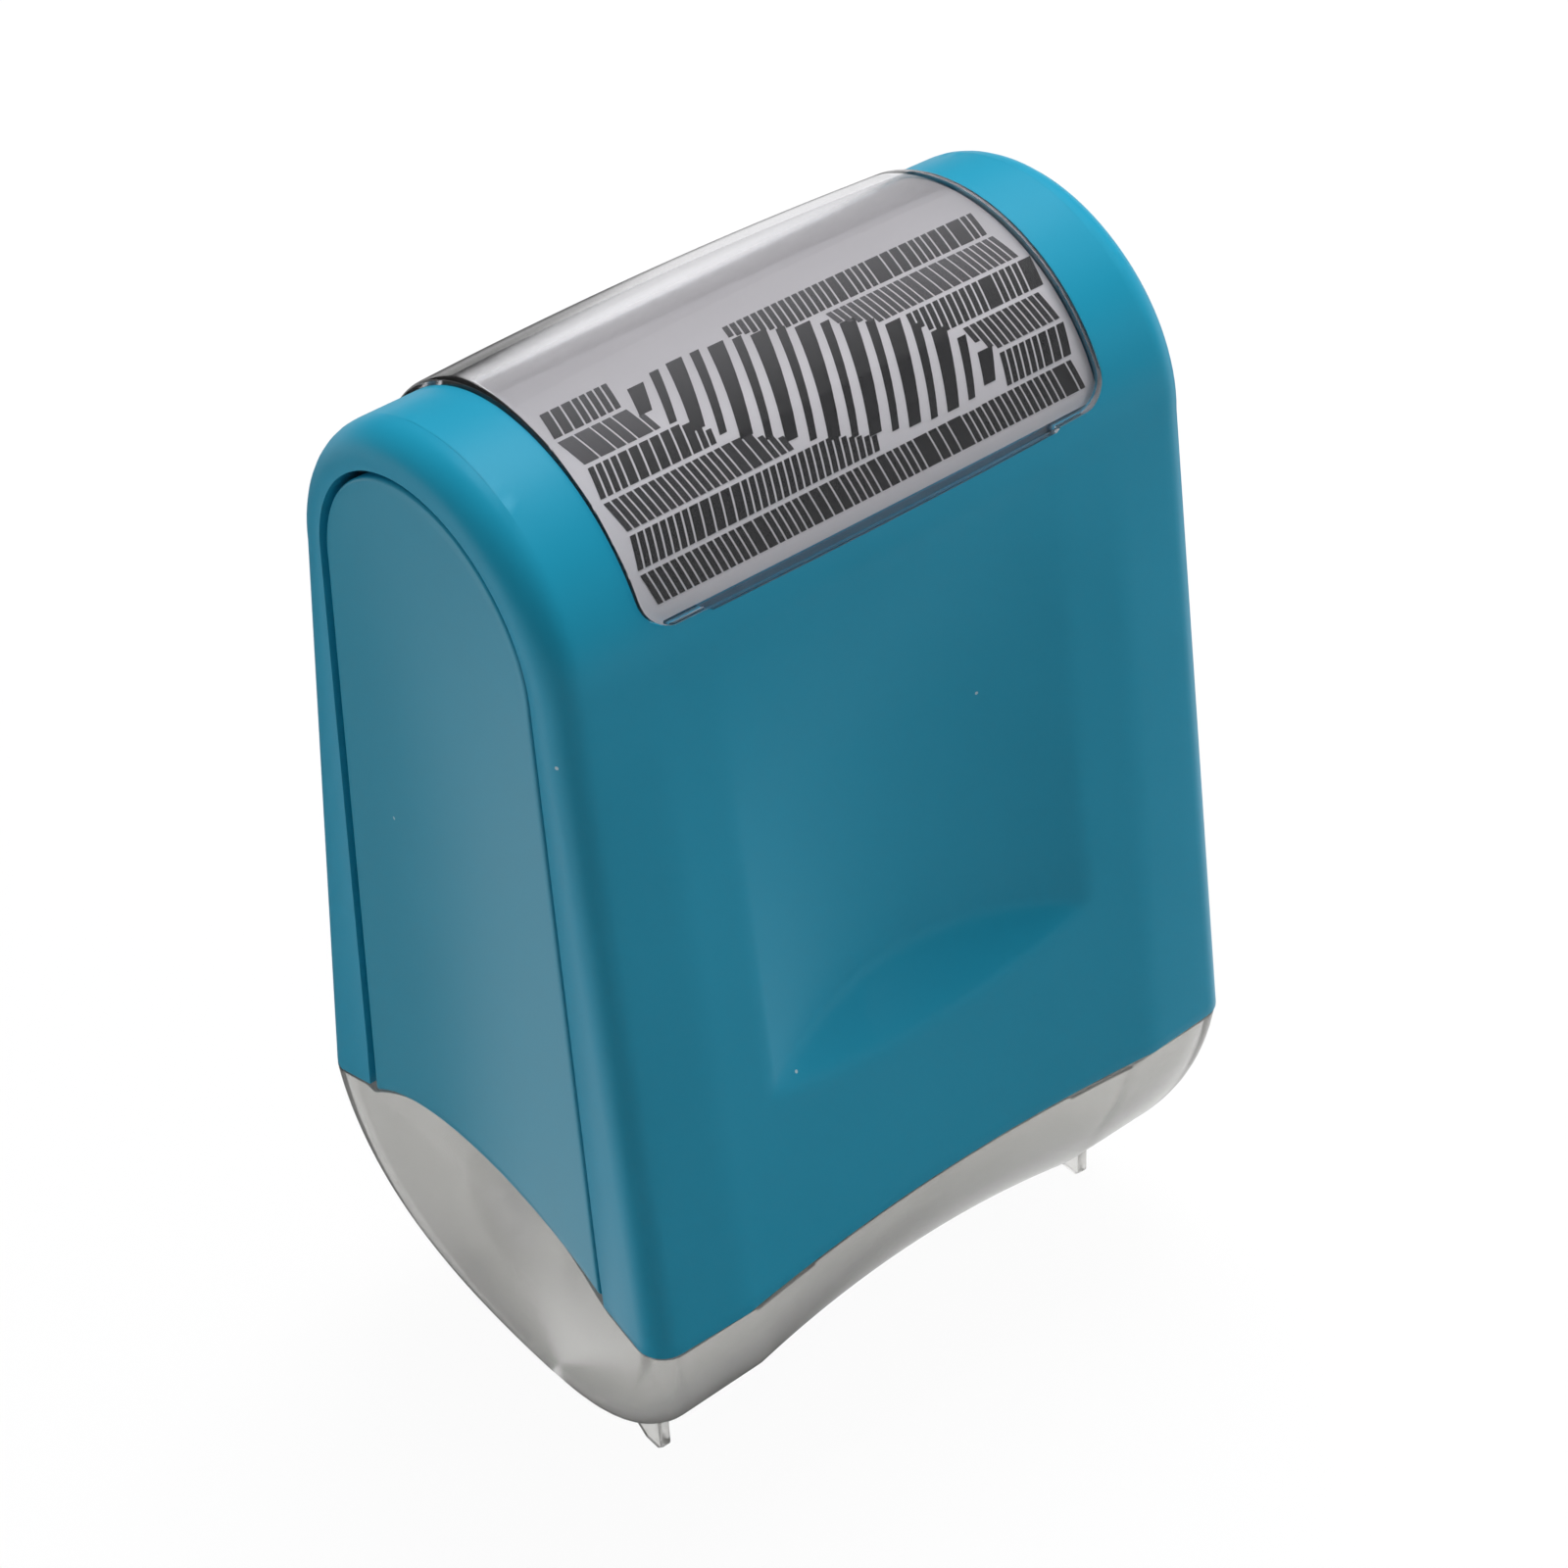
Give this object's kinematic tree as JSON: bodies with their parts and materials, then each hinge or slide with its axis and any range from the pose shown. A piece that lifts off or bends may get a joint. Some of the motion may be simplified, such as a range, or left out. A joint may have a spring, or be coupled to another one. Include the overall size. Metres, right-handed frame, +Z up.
{
  "type": "privacy roller stamp",
  "caption": "Hand-held self-inking roller stamp: an arched case with a clear-topped pattern card, a pull-out inner unit with an inked print drum, and a clear boat-shaped cap on small fins.",
  "frame": {"origin": "centre of the object's footprint, at the tips of the cap's fins", "axes": "+Z up to the arched top, X along the print drum's axis, -Y towards the front face (the side of the window's printed half)"},
  "size_m": [0.057, 0.0425, 0.0902],
  "materials": {
    "outer_case": "satin teal moulded plastic",
    "top_window": "clear polished plastic",
    "sample_card": null,
    "left_end_panel": "satin teal moulded plastic",
    "right_end_panel": "satin teal moulded plastic",
    "clear_cap": "clear moulded plastic, slightly hazy",
    "left_side_plate": "plain white moulded plastic",
    "right_side_plate": "plain white moulded plastic",
    "top_bridge": "plain white moulded plastic",
    "front_tie_bar": "plain white moulded plastic",
    "rear_tie_bar": "plain white moulded plastic",
    "drum_axle": "plain steel",
    "left_axle_clip": "plain steel",
    "right_axle_clip": "plain steel",
    "drum_core": "plain white moulded plastic",
    "rubber_die": "grey rubber",
    "left_grip_ring": "grey rubber",
    "right_grip_ring": "grey rubber",
    "left_drum_bush": "plain low-friction plastic",
    "right_drum_bush": "plain low-friction plastic",
    "ink_axle": "plain steel",
    "ink_core": "plain white moulded plastic",
    "ink_sleeve": "black absorbent felt",
    "left_ink_clip": "plain steel",
    "right_ink_clip": "plain steel"
  },
  "bodies": {
    "case": {"outer_case": "outer_case", "top_window": "top_window", "sample_card": "sample_card"},
    "cartridge": {"left_end_panel": "left_end_panel", "right_end_panel": "right_end_panel", "left_side_plate": "left_side_plate", "right_side_plate": "right_side_plate", "top_bridge": "top_bridge", "front_tie_bar": "front_tie_bar", "rear_tie_bar": "rear_tie_bar", "drum_axle": "drum_axle", "left_axle_clip": "left_axle_clip", "right_axle_clip": "right_axle_clip", "ink_axle": "ink_axle", "left_ink_clip": "left_ink_clip", "right_ink_clip": "right_ink_clip"},
    "drum": {"drum_core": "drum_core", "rubber_die": "rubber_die", "left_grip_ring": "left_grip_ring", "right_grip_ring": "right_grip_ring", "left_drum_bush": "left_drum_bush", "right_drum_bush": "right_drum_bush"},
    "ink_roller": {"ink_core": "ink_core", "ink_sleeve": "ink_sleeve"},
    "cap": {"clear_cap": "clear_cap"}
  },
  "joints": [
    {"name": "cartridge_slide", "type": "slide", "parent": "case", "child": "cartridge", "axis": [0, 0, -1], "range_m": [0, 0.045]},
    {"name": "cap_slide", "type": "slide", "parent": "cartridge", "child": "cap", "axis": [0, 0, -1], "range_m": [0, 0.03]},
    {"name": "drum_spin", "type": "hinge", "parent": "cartridge", "child": "drum", "pos_m": [0, 0, 0.0195], "axis": [1, 0, 0], "continuous": true},
    {"name": "ink_spin", "type": "hinge", "parent": "cartridge", "child": "ink_roller", "pos_m": [0, 0, 0.04075], "axis": [1, 0, 0], "continuous": true}
  ],
  "couplings": [
    {"joint": "ink_spin", "follows": "drum_spin", "ratio": -1.4824}
  ]
}
